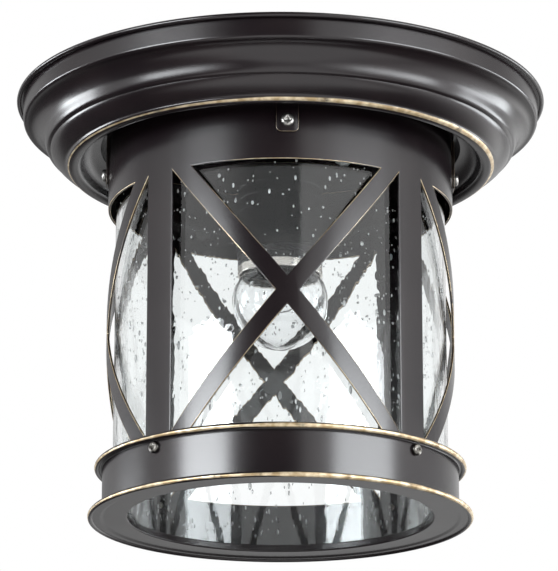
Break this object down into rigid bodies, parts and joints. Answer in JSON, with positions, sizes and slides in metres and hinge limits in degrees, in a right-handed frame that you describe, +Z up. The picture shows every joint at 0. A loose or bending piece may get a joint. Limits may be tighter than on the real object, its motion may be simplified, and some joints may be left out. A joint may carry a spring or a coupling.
{
  "type": "porch ceiling lantern",
  "caption": "Flush ceiling lantern: round stepped canopy, cylindrical strap cage round a seeded glass cylinder, flanged foot ring, and a screw lampholder with a small clear globe bulb.",
  "frame": {"origin": "centre of the ceiling face, where the lantern's axis meets the ceiling, midway between the bracket's two slots", "axes": "+Z up into the ceiling along the lantern's axis, so the lantern hangs to -Z; +X along the ceiling bracket, to the right seen from the front; -Y towards the front"},
  "size_m": [0.252, 0.252, 0.2042],
  "materials": {
    "bronze_lacquer": "near-black brown satin lacquer over pressed steel, with edges hand rubbed to pale gold",
    "nickel_fastener": "bright nickel plate on the screws, the nuts and the lampholder skirt",
    "zinc_plate": "zinc-plated steel",
    "foam_gasket": "closed-cell foam gasket",
    "seeded_glass": "clear glass full of small upright seeds",
    "silicone_seat": "translucent silicone seat ring",
    "phenolic": "glossy black moulded phenolic",
    "porcelain": "glazed white porcelain",
    "brass_contact": "plain brass contact parts",
    "block_nylon": "off-white moulded nylon",
    "brown_lead": "brown silicone lead sleeve",
    "blue_lead": "blue silicone lead sleeve",
    "green_lead": "green lead sleeve with a yellow line",
    "cap_aluminium": "rolled nickel-washed aluminium cap",
    "black_glass": "black vitrite insulator",
    "tip_solder": "dull solder tip",
    "bulb_glass": "thin clear bulb glass",
    "support_wire": "drawn support wire",
    "filament_wire": "dark tungsten coil"
  },
  "bodies": {
    "lantern": {"mounting_bracket": "zinc_plate", "canopy_studs": "zinc_plate", "canopy_washers": "zinc_plate", "canopy_nuts": "nickel_fastener", "canopy": "bronze_lacquer", "rim_gasket": "foam_gasket", "cage_tabs": "bronze_lacquer", "tab_rivets": "bronze_lacquer", "cage_collar": "bronze_lacquer", "cage_screws": "nickel_fastener", "cage_nuts": "nickel_fastener", "cage_posts": "bronze_lacquer", "cage_brace_front": "bronze_lacquer", "cage_brace_right": "bronze_lacquer", "cage_brace_back": "bronze_lacquer", "cage_brace_left": "bronze_lacquer", "cage_foot_band": "bronze_lacquer", "bottom_ring": "bronze_lacquer", "ring_screws": "nickel_fastener", "seeded_glass": "seeded_glass", "glass_seat": "silicone_seat", "holder_nipple": "zinc_plate", "nipple_washer": "zinc_plate", "nipple_nuts": "zinc_plate", "holder_cap": "phenolic", "holder_barrel": "phenolic", "holder_skirt": "nickel_fastener", "holder_insert": "porcelain", "contact_screws": "brass_contact", "screw_shell": "brass_contact", "centre_contact": "brass_contact", "terminal_block": "block_nylon", "block_connectors": "brass_contact", "block_screws": "zinc_plate", "block_fixings": "zinc_plate", "block_nuts": "zinc_plate", "live_lead": "brown_lead", "neutral_lead": "blue_lead", "earth_lead": "green_lead", "earth_lug": "zinc_plate", "earth_screw": "zinc_plate", "earth_nut": "zinc_plate"},
    "bulb_centre": {"bulb_tip": "tip_solder"},
    "bulb": {"bulb_cap": "cap_aluminium", "bulb_insulator": "black_glass", "bulb_globe": "bulb_glass", "bulb_stem": "bulb_glass", "bulb_supports": "support_wire", "bulb_filament": "filament_wire"}
  },
  "joints": [
    {"name": "bulb_travel", "type": "slide", "parent": "lantern", "child": "bulb_centre", "axis": [0, 0, -1], "range_m": [0, 0.01452]},
    {"name": "bulb_turn", "type": "hinge", "parent": "bulb_centre", "child": "bulb", "pos_m": [0, 0, -0.07], "axis": [0, 0, -1], "range_deg": [0, 1440]}
  ],
  "couplings": [
    {"joint": "bulb_travel", "follows": "bulb_turn", "m_per_rad": 0.00057757}
  ]
}
